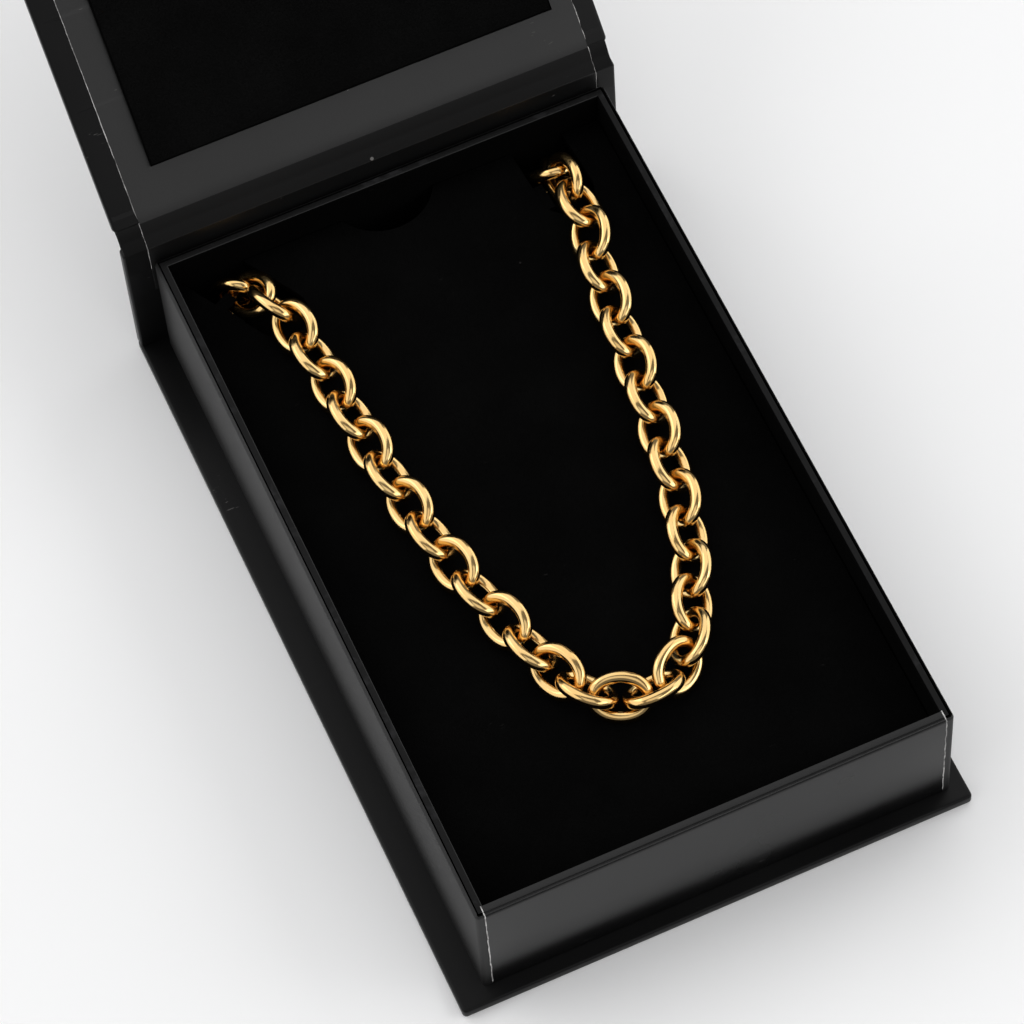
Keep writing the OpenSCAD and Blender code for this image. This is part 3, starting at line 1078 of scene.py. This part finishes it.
class BOX_OT_crease_paper(bpy.types.Operator):
    """Adds the outer paper that is turned in over the crease, beside and under the liner"""

    bl_idname = "gift_box.crease_paper"
    bl_label = "Crease paper"

    def execute(self, context):
        sizes = context.scene.box_case
        low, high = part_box("spine_board")
        left, right = low.x + sizes.edge_r, high.x - sizes.edge_r
        piece = ribbon("crease_wrap", left, right, liner_points()[1:-LINER_STEPS], facing=-Y)
        thicken(piece, sizes.paper_t / 2, INWARDS)
        finish_piece(piece, ["case_paper"])
        blend_over_crease(piece)
        return {"FINISHED"}


class BOX_OT_hinge_paper(bpy.types.Operator):
    """Adds the outer paper of the hinge, from the back of the spine to the outside of the lid"""

    bl_idname = "gift_box.hinge_paper"
    bl_label = "Hinge paper"

    def execute(self, context):
        sizes = context.scene.box_case
        spine_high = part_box("spine_board")[1]
        lid_high = lid_box("lid_board")[1]
        y, top_z = spine_high.y + sizes.hinge_lift, spine_high.z - sizes.edge_r
        near = on_lid(lid_high.y, lid_high.z + sizes.hinge_lift)
        far = on_lid(lid_box("hinge_paper")[0].y, lid_high.z + sizes.hinge_lift)
        points = [(y, spine_high.z - sizes.hinge_down), (y, spine_high.z - sizes.hinge_down / 2)]
        for k in range(HINGE_STEPS + 1):
            t = k / HINGE_STEPS
            point = Vector((0, y, top_z)).lerp(near, t)
            sag = sizes.hinge_sag * math.sin(math.pi * t)
            points.append((point.y - sag, point.z + sag))
        points.append((far.y, far.z))
        low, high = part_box("base_board")
        left, right = low.x + sizes.edge_r, high.x - sizes.edge_r
        piece = ribbon("hinge_wrap", left, right, points, facing=Y)
        thicken(piece, sizes.paper_t, OUTWARDS)
        finish_piece(piece, ["case_paper"])
        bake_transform(piece)
        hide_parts("hinge_paper")
        return {"FINISHED"}


def cut_line(x, line, chance):
    """A pale cut edge of paper: a thin thread at x along points (y, z), wandering a little"""
    sizes = bpy.context.scene.box_case
    points = [Vector((x, *point)) for point in line]
    route = []
    for start, end in zip(points, points[1:]):
        steps = max(1, round((end - start).length / CUT_STEP))
        route += [start.lerp(end, k / steps) for k in range(steps)]
    route.append(points[-1])
    deselect_all()
    bpy.ops.curve.primitive_nurbs_path_add()
    thread = bpy.context.object
    data = thread.data
    data.splines.clear()
    spline = data.splines.new("POLY")
    spline.points.add(len(route) - 1)
    for point, at in zip(spline.points, route):
        wander = Vector(chance.uniform(-1, 1) for _ in range(3)) * sizes.cut_wander
        point.co = (*(at + wander), 1)
        point.radius = chance.uniform(CUT_THINNEST, 1.0)
    data.dimensions = "3D"
    data.bevel_depth = sizes.cut_w / 2
    data.bevel_resolution = 1
    data.use_fill_caps = True
    bpy.ops.object.convert(target="MESH")
    return bpy.context.object


class BOX_OT_cut_edges(bpy.types.Operator):
    """Adds the pale cut edges of the papers, on the tray's front and along the liner"""

    bl_idname = "gift_box.cut_edges"
    bl_label = "Cut edges"

    def execute(self, context):
        sizes = context.scene.box_case
        chance = random.Random(CUT_SEED)
        low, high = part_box("tray")
        r, out, inner_y = sizes.rim_r, sizes.paper_t, low.y + tray_wall() - sizes.rim_inner_r
        bend = arc(low.y + r, high.z - r, r, math.pi, math.pi / 2, steps=4)
        slant = 0.7 * out
        line = [(low.y - out, low.z + sizes.cut_up)]
        line += [(y - slant, z + slant) for y, z in bend]
        line += [(inner_y, high.z + out)]
        lines = [
            cut_line(x, line, chance) for x in (low.x + sizes.seam_in, high.x - sizes.seam_in)]
        piece = join(lines, "tray_cut_edges")
        finish_piece(piece, ["cut_paper_core"])
        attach(piece, "box")
        crossing = [cut_line(x, liner_points()[1:], chance) for x in liner_sides()]
        piece = join(crossing, "liner_cut_edges")
        finish_piece(piece, ["cut_paper_core"])
        blend_over_crease(piece)
        return {"FINISHED"}


def softbox(name, radiance, place, width, length):
    """A large soft area light, turned to the box, with a face of a given brightness"""
    data = bpy.data.lights.new(name, "AREA")
    data.shape = "RECTANGLE"
    data.size = width
    data.size_y = length
    data.energy = radiance * math.pi * width * length
    light = bpy.data.objects.new(name, data)
    bpy.context.scene.collection.objects.link(light)
    light.location = place
    light.rotation_euler = (LIT_POINT - Vector(place)).to_track_quat("-Z", "Y").to_euler()


# The point that the softboxes face, and for each its name, place, width, length and share of
# the brightness
LIT_POINT = Vector((0, 0, 0.03))
SOFTBOXES = [
    ("back_light", (-0.2, 1.5, 2.3), 4.2, 2.7, 1.0),
    ("right_light", (2.5, 0.0, 1.3), 3.8, 2.4, 1.2),
    ("left_light", (-2.5, 0.7, 1.5), 5.2, 2.6, 1.0),
    ("front_light", (1.7, -2.3, 2.1), 3.6, 1.2, 1.7),
    ("camera_light", (-0.43, -1.2, 2.26), 1.8, 1.6, 0.7)]


class BOX_OT_stage(bpy.types.Operator):
    """Adds the pale floor, the soft lights and the camera at the photograph's angle"""

    bl_idname = "gift_box.stage"
    bl_label = "Stage"

    def execute(self, context):
        studio = context.scene.box_studio
        deselect_all()
        bpy.ops.mesh.primitive_plane_add(size=studio.floor_w)
        floor = named("floor")
        floor.data.materials.append(bpy.data.materials["pale_floor"])

        world = bpy.data.worlds.new("Room")
        context.scene.world = world
        world.use_nodes = True
        room = world.node_tree.nodes["Background"].inputs
        room["Color"].default_value = (1, 1, 1, 1)
        room["Strength"].default_value = studio.world
        context.scene.view_settings.view_transform = "Standard"

        for name, place, width, length, share in SOFTBOXES:
            softbox(name, share * studio.radiance, place, width, length)

        turn, rise = studio.azimuth, studio.elevation
        back = Vector((
            math.sin(turn) * math.cos(rise), -math.cos(turn) * math.cos(rise), math.sin(rise)))
        camera = bpy.data.objects.new("camera", bpy.data.cameras.new("camera"))
        context.scene.collection.objects.link(camera)
        look = (-back).to_track_quat("-Z", "Y")
        camera.rotation_mode = "QUATERNION"
        camera.rotation_quaternion = look @ Matrix.Rotation(-studio.roll, 3, "Z").to_quaternion()
        camera.location = Vector(studio.aim) + back * studio.distance
        camera.data.sensor_width = 36
        camera.data.lens = studio.lens
        camera.data.clip_start = 0.01
        camera.data.clip_end = 20
        context.scene.camera = camera
        return {"FINISHED"}


PIECES = [
    BOX_OT_case_boards, BOX_OT_tray, BOX_OT_front_paper, BOX_OT_insert, BOX_OT_flaps, BOX_OT_chain,
    BOX_OT_clasp, BOX_OT_lid_board, BOX_OT_lid_pad, BOX_OT_liner, BOX_OT_crease_paper,
    BOX_OT_hinge_paper, BOX_OT_cut_edges, BOX_OT_stage]
SETTINGS = {
    "box_case": CaseSizes, "box_chain": ChainSizes, "box_finishes": Finishes, "box_studio": Studio}


class BOX_PT_panel(bpy.types.Panel):
    """Lists the pieces and their sizes"""

    bl_idname = "BOX_PT_panel"
    bl_label = "Gift box"
    bl_space_type = "VIEW_3D"
    bl_region_type = "UI"
    bl_category = "Gift box"

    def draw(self, context):
        for piece in PIECES:
            self.layout.operator(piece.bl_idname)
        for settings, group in SETTINGS.items():
            part = self.layout.box()
            part.label(text=group.__doc__)
            for name in group.__annotations__:
                part.prop(getattr(context.scene, settings), name)


def register():
    for group in [*SETTINGS.values(), *PIECES, BOX_PT_panel]:
        bpy.utils.register_class(group)
    for name, group in SETTINGS.items():
        setattr(bpy.types.Scene, name, PointerProperty(type=group))


def unregister():
    for name in SETTINGS:
        delattr(bpy.types.Scene, name)
    for group in reversed([*SETTINGS.values(), *PIECES, BOX_PT_panel]):
        bpy.utils.unregister_class(group)


def main():
    register()
    build_materials()
    for piece in PIECES:
        space, name = piece.bl_idname.split(".")
        getattr(getattr(bpy.ops, space), name)()


if __name__ == "__main__":
    main()
